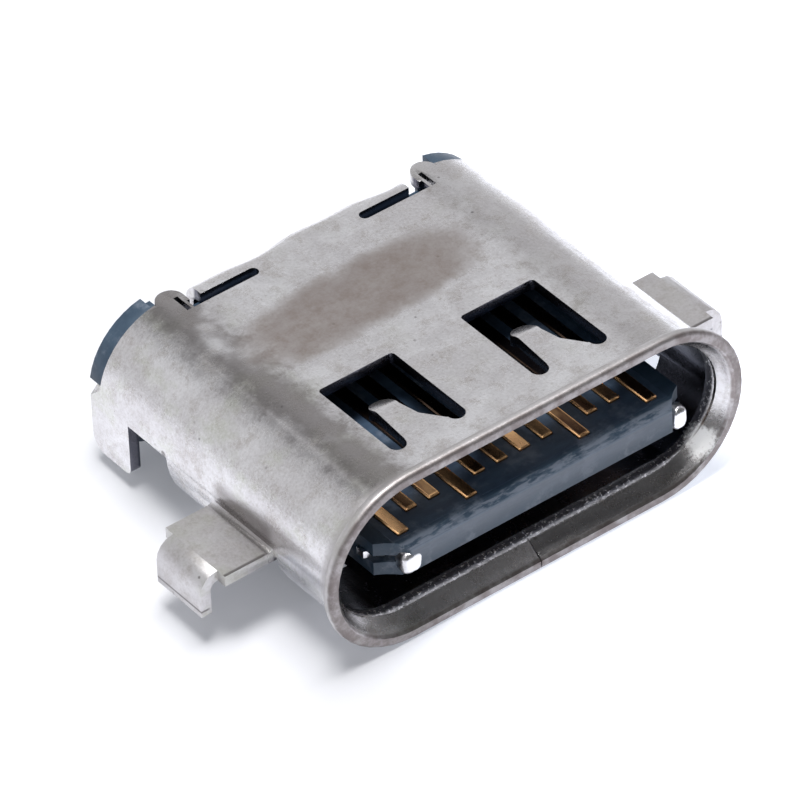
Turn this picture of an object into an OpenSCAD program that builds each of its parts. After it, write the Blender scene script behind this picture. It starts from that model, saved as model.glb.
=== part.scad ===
// Mid-mount USB type C socket: a folded steel shell round a moulded tongue with 24 contacts.
// Millimetres. X to the right, Y from the mouth to the rear, Z up.
// The origin is the centre of the mouth, in the plane of the lip.

/* [Mouth and shell] */
// Width of the plug opening
opening_w = 8.40; // [8.2:0.02:8.8]
// Height of the plug opening
opening_h = 2.62; // [2.5:0.02:2.9]
// Thickness of the shell's sheet
sheet_t = 0.22; // [0.18:0.01:0.25]
// Length of the shell from the lip to its rear edge
shell_len = 6.83; // [6.7:0.01:6.9]
// Width over the flared lip
lip_w = 9.20; // [9.1:0.02:9.5]
// Height over the flared lip
lip_h = 3.66; // [3.5:0.02:3.9]
// Depth of the flare behind the lip
flare_depth = 0.46; // [0.35:0.01:0.6]
// Radius of the lip's front edges
lip_edge_r = 0.09; // [0.05:0.01:0.1]
// Width of the butt seam along the bottom
seam_gap = 0.03; // [0.02:0.01:0.06]

/* [Top windows and fingers] */
// Distance of each window's middle from the centre line
window_x = 1.565; // [1.4:0.005:1.7]
// Width of a window
window_w = 1.64; // [1.5:0.02:1.8]
// Distance from the lip to the front of a window
window_y = 0.94; // [0.9:0.01:1.1]
// Length of a window
window_len = 2.17; // [2.0:0.01:2.4]
// Width of a finger at its root
finger_root_w = 0.94; // [0.8:0.01:1.0]
// Width of a finger at its tip
finger_tip_w = 0.46; // [0.4:0.01:0.6]
// How far a finger's tip lies to the left of its root
finger_lean = 0.17; // [0:0.01:0.2]
// Length of a finger's level part
finger_len = 1.07; // [0.9:0.01:1.2]
// Length of a finger's tip beyond its crease
finger_tip_len = 0.40; // [0.3:0.01:0.5]
// Angle by which a finger's tip dips into the mouth
finger_dip = 24; // [10:1:35]

/* [Side tabs] */
// Distance from the lip to the front edge of a side tab
tab_y = 1.85; // [1.7:0.01:2.0]
// Width of a side tab, along the shell
tab_w = 1.70; // [1.4:0.01:1.9]
// Distance from the centre line to the outer face of a tab's leg
tab_reach = 5.82; // [5.6:0.01:6.2]
// Height of the tab's top face below the middle of the mouth
tab_drop = 0.18; // [0.1:0.01:0.3]
// How far a tab's leg stands below the underside of the tab
tab_leg_len = 0.65; // [0.4:0.01:0.9]
// How much narrower the leg is than its tab, on each side
tab_leg_inset = 0.22; // [0.1:0.01:0.35]
// Outer radius of the bend between tab and leg
tab_bend_r = 0.38; // [0.3:0.01:0.5]
// Clearance round a tab in the wall that it was cut from
tab_relief = 0.06; // [0.04:0.01:0.1]

/* [Rear legs and flap] */
// Distance from the shell's rear edge forward to the front edge of a rear leg
rear_leg_inset = 0.83; // [0.7:0.01:0.9]
// Width of a rear leg, along the shell
rear_leg_w = 1.09; // [1.0:0.01:1.2]
// How far a rear leg stands below the board's face
rear_leg_len = 0.76; // [0.5:0.01:0.9]
// Distance from the shell's rear edge forward to the end of the rolled lower corners
lower_corner_inset = 1.95; // [1.7:0.01:2.1]
// Distance from the shell's rear edge forward to the end of the bottom sheet's arms
bottom_inset = 0.83; // [0.78:0.01:1]
// Half the width of the opening between the bottom sheet's arms
bottom_notch_half_w = 2.30; // [2.1:0.02:2.4]
// Distance from the shell's rear edge forward to the front of that opening
bottom_notch_inset = 1.90; // [1.7:0.01:2]
// Half the width of the rear flap
flap_half_w = 2.32; // [2.2:0.01:2.4]
// Distance from the shell's rear edge back to the outer face of the rear flap
flap_out = 0.19; // [0.15:0.01:0.23]
// Height of the flap's lower edge above the middle of the mouth
flap_bottom = 0.02; // [0:0.01:0.3]
// Distance from the centre line to the inner end of a flap slot
slot_x0 = 1.14; // [1.0:0.01:1.3]
// Distance from the centre line to the outer end of a flap slot
slot_x1 = 2.62; // [2.5:0.01:2.66]
// Distance from the shell's rear edge forward to the front edge of the flap slots
slot_inset = 0.50; // [0.43:0.01:0.58]
// Width of a flap slot
slot_w = 0.22; // [0.18:0.01:0.25]
// Distance from the centre line to the inner side of a corner lobe
lobe_x0 = 2.56; // [2.5:0.01:2.6]
// Distance from the centre line to the outer side of a corner lobe
lobe_x1 = 3.12; // [3.0:0.01:3.2]

/* [Tongue] */
// Width of the tongue
tongue_w = 6.69; // [6.6:0.01:6.75]
// Thickness of the tongue
tongue_t = 0.70; // [0.66:0.01:0.74]
// Distance from the lip to the tongue's front, behind it where positive
tongue_y = -0.07; // [-0.1:0.01:0.2]
// Distance from the lip to the front of the tongue's thick root
root_y = 4.40; // [4.3:0.01:4.5]
// Thickness of the tongue's root, without its ground plates
root_t = 1.20; // [1.1:0.01:1.3]
// Width of the tongue's root
root_w = 6.90; // [6.85:0.01:7.1]
// Width of a terminal block
block_w = 6.10; // [6.0:0.01:6.15]
// Distance from the lip to the front of the terminal blocks
block_y = 0.20; // [0.16:0.01:0.24]
// Thickness of the latch plate in the middle of the tongue
mid_plate_t = 0.15; // [0.12:0.01:0.18]
// Width of the latch plate over its side edges
mid_plate_w = 6.80; // [6.75:0.01:6.86]

/* [Contacts] */
// Number of contacts in a row
contact_count = 12; // [12:1:12]
// Distance between neighbouring contacts
pitch = 0.50; // [0.48:0.005:0.51]
// Width of a contact
contact_w = 0.25; // [0.2:0.01:0.3]
// Thickness of a contact
contact_t = 0.10; // [0.08:0.01:0.12]
// How far a contact stands proud of the tongue
contact_proud = 0.05; // [0.03:0.01:0.06]
// Distance from the lip to the tips of the long contacts
long_tip_y = 0.29; // [0.26:0.01:0.4]
// Distance from the lip to the tips of the short contacts
short_tip_y = 0.70; // [0.6:0.01:0.9]
// Length of a solder tail on the board
tail_len = 0.60; // [0.5:0.01:0.7]
// Distance from the flap's outer face back to the end of the rear solder tails
rear_tail_out = 0.93; // [0.85:0.01:1.1]

/* [Housing] */
// Distance from the shell's rear edge forward to the stop wall behind the mouth
stop_inset = 0.73; // [0.63:0.01:0.77]
// Thickness of the stop wall below the board's face
stop_t = 0.34; // [0.3:0.01:0.36]
// How far the flange stands out behind the shell
flange_out = 0.39; // [0.3:0.01:0.45]
// How far the flange lies inside the shell's outer face
flange_step = 0.07; // [0.04:0.01:0.1]
// Radius of a locating peg
peg_r = 0.30; // [0.25:0.01:0.35]
// Length of a locating peg below the board's face
peg_len = 0.70; // [0.5:0.01:0.9]
// Distance of a peg from the centre line
peg_x = 3.60; // [3.5:0.01:3.7]
// Play between the housing and the shell
fit_gap = 0.02; // [0.01:0.01:0.04]
// Thickness of a ground plate
ground_t = 0.10; // [0.08:0.01:0.12]
// How far a ground plate's hook reaches down the side of the root
hook_h = 0.40; // [0.3:0.01:0.5]
// Distance from a ground plate's end to its hook
hook_inset = 0.45; // [0.3:0.01:0.6]

/* [Hidden] */
$fn = 64;
CONTACT_NAMES = ["01", "02", "03", "04", "05", "06", "07", "08", "09", "10", "11", "12"];

over = 0.5;                                   // how far cutters run past what they cut
rear_leg_y = shell_len - rear_leg_inset;
lower_corner_len = shell_len - lower_corner_inset;
bottom_len = shell_len - bottom_inset;
slot_y = shell_len - slot_inset;
flap_y = shell_len + flap_out;
stop_y = shell_len - stop_inset;
core = (opening_w - opening_h) / 2;           // half the straight part of the mouth's section
in_r = opening_h / 2;
out_r = in_r + sheet_t;
body_half_w = core + out_r;
lip_core = (lip_w - lip_h) / 2;
lip_r = lip_h / 2;
lip_in_r = lip_r - sheet_t - 0.02;
board_z = -tab_drop - sheet_t;                // face of the board that the socket sits on
flap_bend_r = 0.34;                           // outer radius of the flap's bend
lower_cut_z = -0.02;                          // where the rolled lower corners are cut off
tail_r = 0.08;                                // bend radius of the contacts' middle line
tongue_z = tongue_t / 2;
root_z = root_t / 2;
contact_z = tongue_z + contact_proud - contact_t / 2;
block_back = stop_y + stop_t + 0.28;
front_tail_end = flap_y - 0.02;
rear_tail_end = flap_y + rear_tail_out;
root_skin = 0.15;                             // plastic over the terminal blocks in the root
exit_z = board_z + 2.5 * contact_t;           // middle of the upper contacts where they leave
recess_z = contact_z - 0.10;                  // middle of the contacts inside the root
rear_floor_z = board_z + contact_t;           // underside of the housing over the front tails
shell_rear = shell_len + flange_out;

// ---- profiles and sweeps ----

// Half-stadium of radius r about the middle line, filled, from y0 to y1
module stadium(c, r, y0, y1) {
    translate([-c, y0, -r]) cube([2 * c, y1 - y0, 2 * r]);
    for (side = [-1, 1])
        translate([side * c, y0, 0]) rotate([-90, 0, 0]) cylinder(r = r, h = y1 - y0);
}

// Solid stadium whose radius follows a profile of [radius, y] points
module stadium_sweep(c, profile) {
    for (flip = [0, 1]) mirror([0, 0, flip])
        rotate([0, -90, 0]) linear_extrude(height = 2 * c, center = true) polygon(profile);
    for (flip = [0, 1]) mirror([flip, 0, 0])
        translate([c, 0, 0]) rotate([-90, 0, 0]) rotate([0, 0, -90])
            rotate_extrude(angle = 180) polygon(profile);
}

// Smooth step from a to b as t runs from 0 to 1
function blend(a, b, t) = a + (b - a) * (1 - cos(180 * t)) / 2;

// Outside of the lip: rounded front edge, short land, then an S into the body
lip_profile = concat(
    [[0, 0]],
    [for (a = [0:22.5:90]) [lip_r - lip_edge_r + lip_edge_r * sin(a), lip_edge_r * (1 - cos(a))]],
    [for (t = [0:0.125:1]) [blend(lip_r, out_r - 0.03, t), lip_edge_r + 0.05
        + (flare_depth - lip_edge_r - 0.05) * t]],
    [[0, flare_depth]]);

// Inside of the lip: a rounded edge, then a funnel down to the mouth
funnel_profile = concat(
    [[0, -over], [lip_in_r + lip_edge_r / 2, -over], [lip_in_r + lip_edge_r / 2, 0]],
    [[lip_in_r, lip_edge_r / 2]],
    [for (t = [0.2:0.2:1]) [blend(lip_in_r, in_r - 0.05, 0.1 + 0.7 * t),
        lip_edge_r / 2 + (flare_depth - lip_edge_r / 2) * t]],
    [[0, flare_depth]]);

// Flat strip of thickness t that follows a path of [y, z] points with rounded corners
function unit(v) = v / norm(v);
function side_of(v) = [-v[1], v[0]];
function corner_points(p, q, s, r, off) =
    let (u = unit(q - p), w = unit(s - q),
         turn = atan2(u[0] * w[1] - u[1] * w[0], u * w),
         hand = turn < 0 ? -1 : 1,
         reach = r * tan(abs(turn) / 2),
         centre = q - u * reach + side_of(u) * hand * r,
         steps = 4)
    [for (i = [0:steps])
        let (a = turn * i / steps, n = -hand * side_of(u),
             d = [n[0] * cos(a) - n[1] * sin(a), n[0] * sin(a) + n[1] * cos(a)])
        centre + d * (r - hand * off)];
function strip_side(path, r, off) = concat(
    [path[0] + side_of(unit(path[1] - path[0])) * off],
    [for (i = [1:len(path) - 2])
        each corner_points(path[i - 1], path[i], path[i + 1], r, off)],
    [path[len(path) - 1]
        + side_of(unit(path[len(path) - 1] - path[len(path) - 2])) * off]);
function reversed(v) = [for (i = [len(v) - 1:-1:0]) v[i]];
function strip(path, t, r) = concat(strip_side(path, r, t / 2), reversed(strip_side(path, r, -t / 2)));

// Sheet of the given width whose section in the YZ plane is a polygon
module yz_sheet(section, w) {
    rotate([90, 0, 90]) linear_extrude(height = w, center = true) polygon(section);
}

// Sheet whose section in the XZ plane is a polygon, from y0 to y1
module xz_sheet(section, y0, y1) {
    translate([0, y1, 0]) rotate([90, 0, 0]) linear_extrude(height = y1 - y0) polygon(section);
}

// Box that reaches the same distance to the left and to the right
module centred_box(half_w, y0, y1, z0, z1) {
    translate([-half_w, y0, z0]) cube([2 * half_w, y1 - y0, z1 - z0]);
}

module both_sides() {
    for (flip = [0, 1]) mirror([flip, 0, 0]) children();
}

// Vertical round-ended slot cutter along X
module slot_cut(x0, x1, y, w, z0, z1) {
    translate([x0 + w / 2, y, z0]) cube([x1 - x0 - w / 2, w, z1 - z0]);
    translate([x0 + w / 2, y + w / 2, z0]) cylinder(d = w, h = z1 - z0);
}

// ---- shell ----

// Outline of a finger's level part and of its root in the shell, seen from above
module finger_plan() {
    root = finger_root_w / 2;
    tip = finger_tip_w / 2;
    end = window_y + finger_len - 0.06;
    waist = window_y + 0.55 * finger_len;
    polygon([[-root, window_y - over / 4], [-root, window_y + 0.05], [-finger_lean - tip, end],
             [tip - finger_lean, end], [tip - finger_lean + 0.09, waist],
             [root, window_y + 0.15], [root, window_y - over / 4]]);
}

// Cutter for one window, which leaves its finger
module window_cut() {
    slot_r = (window_w - finger_root_w) / 4;
    half = window_w / 2;
    back = window_y + window_len;
    corner_r = 0.08;
    translate([0, 0, in_r - over / 2]) linear_extrude(height = sheet_t + over) difference() {
        union() {
            translate([-half, window_y + slot_r]) square([window_w, window_len - slot_r - corner_r]);
            translate([corner_r - half, back - over]) square([window_w - 2 * corner_r, over]);
            for (side = [-1, 1]) {
                translate([side * (half - slot_r), window_y + slot_r]) circle(r = slot_r);
                translate([side * (half - corner_r), back - corner_r]) circle(r = corner_r);
            }
        }
        finger_plan();
    }
}

// Bent end of one finger, with a round tip
module finger_tip() {
    mid = in_r + sheet_t / 2;
    crease = window_y + finger_len;
    tip_r = finger_tip_w / 2;
    end = crease + finger_tip_len * cos(finger_dip);
    section = [[crease - 0.3, mid], [crease, mid], [end + 0.2, mid - (end + 0.2 - crease) * tan(finger_dip)]];
    intersection() {
        yz_sheet(strip(section, sheet_t, 0.2), 2 * window_w);
        translate([-finger_lean, 0, 0]) linear_extrude(height = lip_r) {
            translate([-tip_r, crease - 0.25]) square([2 * tip_r, end - tip_r - crease + 0.25]);
            translate([0, end - tip_r]) circle(r = tip_r);
        }
    }
}

// One side tab: out of the wall, level over the board, then down as a leg
module side_tab() {
    wall_x = core + sqrt(out_r * out_r - tab_drop * tab_drop);
    top = -tab_drop;
    mid = top - sheet_t / 2;
    leg_x = tab_reach - sheet_t / 2;
    leg_z = board_z - tab_leg_len;
    bend = tab_bend_r - sheet_t / 2;
    root_x = body_half_w - sheet_t - 0.02;
    level = strip([[root_x, mid], [leg_x - bend, mid], [leg_x, mid]], sheet_t, 0.001);
    leg = strip([[leg_x - 2 * bend, mid], [leg_x, mid], [leg_x, leg_z]], sheet_t, bend);
    fillet = 0.12;
    xz_sheet([[root_x, top - sheet_t], [leg_x - bend, top - sheet_t], [leg_x - bend, top],
              [wall_x + fillet, top], [wall_x + 0.3 * fillet, top + 0.25 * fillet],
              [wall_x - 0.02, top + fillet], [root_x, top + fillet]], tab_y, tab_y + tab_w);
    xz_sheet(leg, tab_y + tab_leg_inset, tab_y + tab_w - tab_leg_inset);
}

// One rear leg: the lower corner of the wall left straight, with a rounded foot
module rear_leg() {
    foot_z = board_z - rear_leg_len;
    heel_r = 0.34;
    toe_r = 0.14;
    x0 = body_half_w - sheet_t;
    y1 = rear_leg_y + rear_leg_w;
    neck_z = 0.24;
    intersection() {
        translate([x0, rear_leg_y, foot_z]) cube([sheet_t, rear_leg_w, neck_z - foot_z]);
        union() {
            translate([x0 - over, rear_leg_y, foot_z + heel_r])
                cube([2 * over, rear_leg_w, 2 * rear_leg_len + over]);
            translate([x0 - over, rear_leg_y + toe_r, foot_z])
                cube([2 * over, rear_leg_w - toe_r - heel_r, heel_r + 0.01]);
            translate([x0 - over, y1 - heel_r, foot_z + heel_r])
                rotate([0, 90, 0]) cylinder(r = heel_r, h = 2 * over);
            translate([x0 - over, rear_leg_y, foot_z + toe_r]) cube([2 * over, heel_r, heel_r]);
            translate([x0 - over, rear_leg_y + toe_r, foot_z + toe_r])
                rotate([0, 90, 0]) cylinder(r = toe_r, h = 2 * over);
        }
    }
}

// Rear flap: the top sheet carried on, bent down behind the housing
module rear_flap() {
    z = out_r - sheet_t / 2;
    y = flap_y - sheet_t / 2;
    r = flap_bend_r - sheet_t / 2;
    difference() {
        yz_sheet(strip([[slot_y - 0.2, z], [y, z], [y, flap_bottom]], sheet_t, r), 2 * flap_half_w);
        both_sides() translate([flap_half_w - 0.22, flap_y - over, flap_bottom - over])
            cube([over, 2 * over, 0.25 + over]);
    }
}

// One lobe of the top sheet beside the flap
module corner_lobe() {
    w = lobe_x1 - lobe_x0;
    intersection() {
        difference() {
            stadium(core, out_r, slot_y, flap_y + over);
            stadium(core, in_r, slot_y - over, flap_y + 2 * over);
        }
        union() {
            translate([lobe_x0, slot_y, 0]) cube([w, flap_y - w / 2 - slot_y, 2 * out_r]);
            translate([lobe_x0 + w / 2, flap_y - w / 2, 0]) cylinder(d = w, h = 2 * out_r);
        }
    }
}

// Thin cutter along the seam, with one dovetail lock
module seam_cut() {
    lock_y = 2.6;
    lock_w = 0.8;
    lock_d = 0.5;
    flare = 0.12;
    g = seam_gap;
    path = [[0, -over], [0, lock_y - lock_w / 2 + flare], [lock_d, lock_y - lock_w / 2],
            [lock_d, lock_y + lock_w / 2], [0, lock_y + lock_w / 2 - flare], [0, bottom_len + over]];
    translate([0, 0, -lip_r - over]) linear_extrude(height = lip_r - in_r + 2 * over + over / 2)
        for (i = [0:len(path) - 2])
            let (u = unit(path[i + 1] - path[i]), n = side_of(u) * g / 2, e = u * g / 2)
                polygon([path[i] - e + n, path[i + 1] + e + n, path[i + 1] + e - n, path[i] - e - n]);
}

// The drawn body with its lip, before anything is bent out of it
module shell_body() {
    difference() {
        union() {
            stadium(core, out_r, lip_edge_r, shell_len);
            stadium_sweep(lip_core, lip_profile);
        }
        stadium(core, in_r, -over, shell_len + over);
        stadium_sweep(lip_core, funnel_profile);
        for (side = [-1, 1]) translate([side * window_x, 0, 0]) window_cut();
        both_sides() {
            // the corner that each side tab was cut from
            translate([core, tab_y - tab_relief, -2 * out_r])
                cube([2 * out_r, tab_w + 2 * tab_relief, 2 * out_r - tab_drop - sheet_t / 2]);
            // the lower corner behind the rolled part
            translate([core, lower_corner_len, -2 * out_r])
                cube([2 * out_r, shell_len, 2 * out_r + lower_cut_z]);
        }
        // the bottom sheet ends before the legs do, in two arms
        centred_box(core + over, bottom_len, shell_len + over, -2 * out_r, lower_cut_z);
        centred_box(bottom_notch_half_w, shell_len - bottom_notch_inset, shell_len, -2 * out_r, lower_cut_z);
        // the top sheet behind the slots belongs to the flap and the lobes
        centred_box(lobe_x1, slot_y + slot_w / 2, shell_len + over, lower_cut_z + over, 2 * out_r);
    }
}

module shell() {
    color([0.74, 0.72, 0.70]) difference() {
        union() {
            shell_body();
            rear_flap();
            both_sides() {
                corner_lobe();
                side_tab();
                rear_leg();
            }
            for (side = [-1, 1]) translate([side * window_x, 0, 0]) finger_tip();
        }
        seam_cut();
        both_sides() {
            slot_cut(slot_x0, slot_x1, slot_y, slot_w, in_r - over, out_r + over);
            translate([lobe_x0 + 0.12, slot_y, in_r - over]) cube([0.09, 0.42, 2 * over]);
        }
    }
}

// ---- contacts ----

function contact_x(i) = (i - (contact_count - 1) / 2) * pitch;
// The ground and supply contacts, at the ends of a row and three in from them, are long
function is_long(i) = i == 0 || i == 3 || i == contact_count - 4 || i == contact_count - 1;
function tip_y(i) = is_long(i) ? long_tip_y : short_tip_y;

function upper_path(tip) = [
    [tip, contact_z], [root_y + 0.2, contact_z], [root_y + 0.4, recess_z],
    [block_back - 0.16, recess_z], [block_back - 0.16, exit_z],
    [rear_tail_end - tail_len - 0.15, exit_z],
    [rear_tail_end - tail_len, board_z + contact_t / 2], [rear_tail_end, board_z + contact_t / 2]];
function lower_path(tip) = [
    [tip, -contact_z], [root_y + 0.2, -contact_z], [root_y + 0.4, -recess_z],
    [front_tail_end - tail_len - 0.20, -recess_z], [front_tail_end - tail_len, board_z + contact_t / 2],
    [front_tail_end, board_z + contact_t / 2]];

module contact(i, path) {
    translate([contact_x(i), 0, 0]) yz_sheet(strip(path, contact_t, tail_r), contact_w);
}
module upper_contact(i) {
    color([0.80, 0.62, 0.34]) contact(i, upper_path(tip_y(i)));
}
module lower_contact(i) {
    color([0.80, 0.62, 0.34]) contact(i, lower_path(tip_y(i)));
}

// ---- tongue pieces ----

module upper_terminal_block() {
    color([0.10, 0.12, 0.17]) difference() {
        union() {
            centred_box(block_w / 2, block_y, block_back, mid_plate_t / 2, tongue_z);
            centred_box(block_w / 2, root_y + 0.1, block_back, mid_plate_t / 2, root_z - root_skin);
            centred_box(block_w / 2, stop_y + stop_t, block_back, exit_z - contact_t / 2, root_z - root_skin);
        }
        for (i = [0:contact_count - 1]) contact(i, upper_path(tip_y(i)));
    }
}

module lower_terminal_block() {
    color([0.10, 0.12, 0.17]) difference() {
        union() {
            centred_box(block_w / 2, block_y, stop_y + stop_t, -tongue_z, -mid_plate_t / 2);
            centred_box(block_w / 2, root_y + 0.1, stop_y + stop_t, root_skin - root_z, -mid_plate_t / 2);
        }
        for (i = [0:contact_count - 1]) contact(i, lower_path(tip_y(i)));
    }
}

// Steel plate in the middle of the tongue; its side edges catch the plug's latches
module mid_plate_plan(grow) {
    half = mid_plate_w / 2;
    difference() {
        translate([-half - grow, 0.02 - grow]) square([2 * half + 2 * grow, stop_y + 0.08 + 2 * grow]);
        for (side = [-1, 1]) {
            translate([side * (half + 0.10), 1.05]) circle(r = 0.28 - grow);
            translate([side * (half + 0.02), 2.6 + root_y / 2]) square([0.5, root_y], center = true);
        }
        translate([-half + 0.55 + grow, -over]) square([2 * half - 1.1 - 2 * grow, over + 0.35]);
    }
}
module mid_plate() {
    color([0.82, 0.82, 0.82]) translate([0, 0, -mid_plate_t / 2])
        linear_extrude(height = mid_plate_t) mid_plate_plan(0);
}

// Ground plate on the top of the tongue's root, hooked over its sides
module upper_ground_plate() {
    half = root_w / 2;
    color([0.78, 0.77, 0.75]) {
        centred_box(half + ground_t, root_y + 0.06, stop_y, root_z, root_z + ground_t);
        both_sides() translate([half, root_y + hook_inset, root_z - hook_h])
            cube([ground_t, stop_y - root_y - 2 * hook_inset, hook_h + ground_t]);
    }
}
module lower_ground_plate() {
    mirror([0, 0, 1]) upper_ground_plate();
}

// ---- housing ----

// Outline of the tongue, seen from above, with round front corners
module tongue_plan() {
    r = 0.30;
    half = tongue_w / 2;
    translate([-half, tongue_y + r]) square([tongue_w, root_y - tongue_y - r + 0.1]);
    translate([-half + r, tongue_y]) square([tongue_w - 2 * r, 2 * r]);
    for (side = [-1, 1]) translate([side * (half - r), tongue_y + r]) circle(r = r);
}

// Tongue with its nose bevelled above and below
module tongue_body() {
    nose = 0.17;
    bevel = 0.12;
    intersection() {
        translate([0, 0, -tongue_z]) linear_extrude(height = tongue_t) tongue_plan();
        yz_sheet([[tongue_y, bevel - tongue_z], [tongue_y + nose, -tongue_z], [root_y + 0.2, -tongue_z],
                  [root_y + 0.2, tongue_z], [tongue_y + nose, tongue_z], [tongue_y, tongue_z - bevel]],
                 tongue_w + 1);
    }
}

module housing() {
    inner_r = in_r - fit_gap;
    wall_x = core + inner_r;
    back = flap_y - sheet_t - fit_gap;
    back_bevel = 0.16;
    foot_x0 = contact_x(contact_count - 1) + contact_w / 2 + 0.08;
    color([0.20, 0.25, 0.31]) difference() {
        union() {
            tongue_body();
            centred_box(root_w / 2, root_y, stop_y + 0.01, -root_z, root_z);
            // stop wall across the whole mouth
            stadium(core, inner_r, stop_y, stop_y + stop_t);
            // rear body above the board, bevelled under the flap's bend
            intersection() {
                stadium(core, inner_r, stop_y + stop_t - 0.01, back);
                yz_sheet([[stop_y, rear_floor_z], [back, rear_floor_z], [back, inner_r - back_bevel],
                          [back - back_bevel, inner_r + 0.01], [stop_y, inner_r + 0.01]], 2 * wall_x + 1);
            }
            // sides that fill the straight legs and stand on the board
            both_sides() {
                translate([foot_x0, stop_y + stop_t - 0.01, board_z])
                    cube([wall_x - foot_x0, back - stop_y - stop_t + 0.01, -board_z]);
                translate([peg_x, stop_y + stop_t + peg_r + 0.1, board_z - peg_len])
                    cylinder(r = peg_r, h = peg_len + 0.1);
            }
            // flange behind the shell's rear edge
            both_sides() intersection() {
                stadium(core, out_r - flange_step, shell_len, shell_rear);
                translate([lobe_x1 + 0.03, shell_len, 0.27]) cube([2 * out_r, over, 2 * out_r]);
            }
            both_sides() intersection() {
                stadium(core, inner_r, back - 0.01, shell_rear);
                translate([foot_x0, back - 0.01, board_z]) cube([2 * out_r, over + 1, 2 * out_r]);
            }
        }
        // room for the terminal blocks
        centred_box(block_w / 2, block_y, stop_y + stop_t, -tongue_z - over, tongue_z + over);
        centred_box(block_w / 2, root_y + 0.1, stop_y + stop_t + 0.01, root_skin - root_z, root_z - root_skin);
        centred_box(block_w / 2, stop_y + stop_t, back + 2, exit_z - contact_t / 2, root_z - root_skin);
        // room for the latch plate, open to the sides of the tongue
        translate([0, 0, -mid_plate_t / 2]) linear_extrude(height = mid_plate_t) mid_plate_plan(0);
    }
}
// ---- assembly ----

shell();
housing();
upper_terminal_block();
lower_terminal_block();
mid_plate();
upper_ground_plate();
lower_ground_plate();
for (i = [0:contact_count - 1]) {
    upper_contact(i);
    lower_contact(i);
}
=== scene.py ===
"""A mid-mount board socket for a reversible plug: folded steel, moulded tongue, plated contacts."""
import math

import bmesh
import bpy
from bpy.props import FloatProperty, FloatVectorProperty, IntProperty, PointerProperty
from mathutils import Matrix, Vector, noise


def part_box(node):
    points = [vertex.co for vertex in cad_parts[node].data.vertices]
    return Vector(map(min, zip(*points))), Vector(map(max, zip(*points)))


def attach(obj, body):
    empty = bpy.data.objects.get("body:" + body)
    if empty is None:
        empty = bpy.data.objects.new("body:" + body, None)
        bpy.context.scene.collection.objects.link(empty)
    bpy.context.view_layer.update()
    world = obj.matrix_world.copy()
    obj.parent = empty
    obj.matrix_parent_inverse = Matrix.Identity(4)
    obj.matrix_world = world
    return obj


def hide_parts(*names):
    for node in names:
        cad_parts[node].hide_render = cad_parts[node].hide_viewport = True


bl_info = {
    "name": "Board Socket Maker",
    "version": (1, 0, 0),
    "blender": (4, 5, 0),
    "location": "View3D > Sidebar > Socket",
    "description": "Dresses a folded steel board socket with its plastic, contacts and finishes",
    "category": "Add Mesh",
}

MM = 0.001
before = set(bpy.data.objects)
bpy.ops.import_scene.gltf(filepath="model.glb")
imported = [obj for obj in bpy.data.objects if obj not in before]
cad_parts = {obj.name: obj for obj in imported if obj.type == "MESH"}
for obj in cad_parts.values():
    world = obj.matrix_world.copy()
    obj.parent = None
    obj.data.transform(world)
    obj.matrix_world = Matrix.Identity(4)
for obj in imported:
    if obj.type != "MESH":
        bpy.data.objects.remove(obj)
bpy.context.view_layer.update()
WALL = 4.42 * MM                            # outside of the straight side walls
AIM = Vector((0, 3.5, 0)) * MM              # middle of the socket, for the camera and the lamps


# ---- small tools for meshes ----

def frame_mm(node):
    """The low and the high corner of a CAD node's box, in millimetres."""
    return [Vector(corner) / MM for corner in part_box(node)]


def tongue_front():
    """Half of the latch plate's width and the place of the tongue's nose, in millimetres."""
    return frame_mm("mid_plate")[1][0], frame_mm("housing")[0][1]


def cad_mesh(node, name):
    """A merged copy of a CAD node's mesh, ready to be finished."""
    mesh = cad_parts[node].data.copy()
    mesh.name = name
    mesh.materials.clear()
    work = bmesh.new()
    work.from_mesh(mesh)
    bmesh.ops.remove_doubles(work, verts=work.verts, dist=0.0005 * MM)
    bmesh.ops.dissolve_limit(work, angle_limit=math.radians(0.6), verts=work.verts, edges=work.edges,
                             delimit={"NORMAL"})
    work.to_mesh(mesh)
    work.free()
    return mesh


def new_piece(name, mesh):
    """An object at the origin that holds the mesh."""
    piece = bpy.data.objects.new(name, mesh)
    bpy.context.scene.collection.objects.link(piece)
    return piece


def settle(piece):
    """Turns the piece and its modifiers into one plain mesh."""
    graph = bpy.context.evaluated_depsgraph_get()
    mesh = bpy.data.meshes.new_from_object(piece.evaluated_get(graph), depsgraph=graph)
    mesh.name = piece.name
    piece.modifiers.clear()
    piece.data = mesh
    return piece


def round_edges(piece, radius, segments=2):
    """Breaks the sharp edges of a piece, then shades it smooth between them."""
    sharp, smooth = 32, 38
    bevel = piece.modifiers.new("Broken edges", "BEVEL")
    bevel.width = radius
    bevel.segments = segments
    bevel.limit_method = "ANGLE"
    bevel.angle_limit = math.radians(sharp)
    bevel.use_clamp_overlap = True
    bevel.miter_outer = "MITER_ARC"
    settle(piece)
    smooth_by_angle(piece.data, smooth)
    flat = piece.modifiers.new("Flat faces stay flat", "WEIGHTED_NORMAL")
    flat.mode = "FACE_AREA"
    flat.weight = 100
    flat.keep_sharp = True
    return settle(piece)


def smooth_by_angle(mesh, degrees):
    """Smooth faces, with the edges above the angle kept sharp."""
    work = bmesh.new()
    work.from_mesh(mesh)
    limit = math.radians(degrees)
    for face in work.faces:
        face.smooth = True
    for edge in work.edges:
        edge.smooth = len(edge.link_faces) == 2 and edge.calc_face_angle(math.pi) < limit
    work.to_mesh(mesh)
    work.free()


def pare(piece, cutters):
    """Takes the cutters' shapes out of the piece."""
    for cutter in cutters:
        cut = piece.modifiers.new("Pared", "BOOLEAN")
        cut.operation = "DIFFERENCE"
        cut.solver = "EXACT"
        cut.object = cutter
    settle(piece)
    for cutter in cutters:
        bpy.data.objects.remove(cutter)
    return piece


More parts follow.
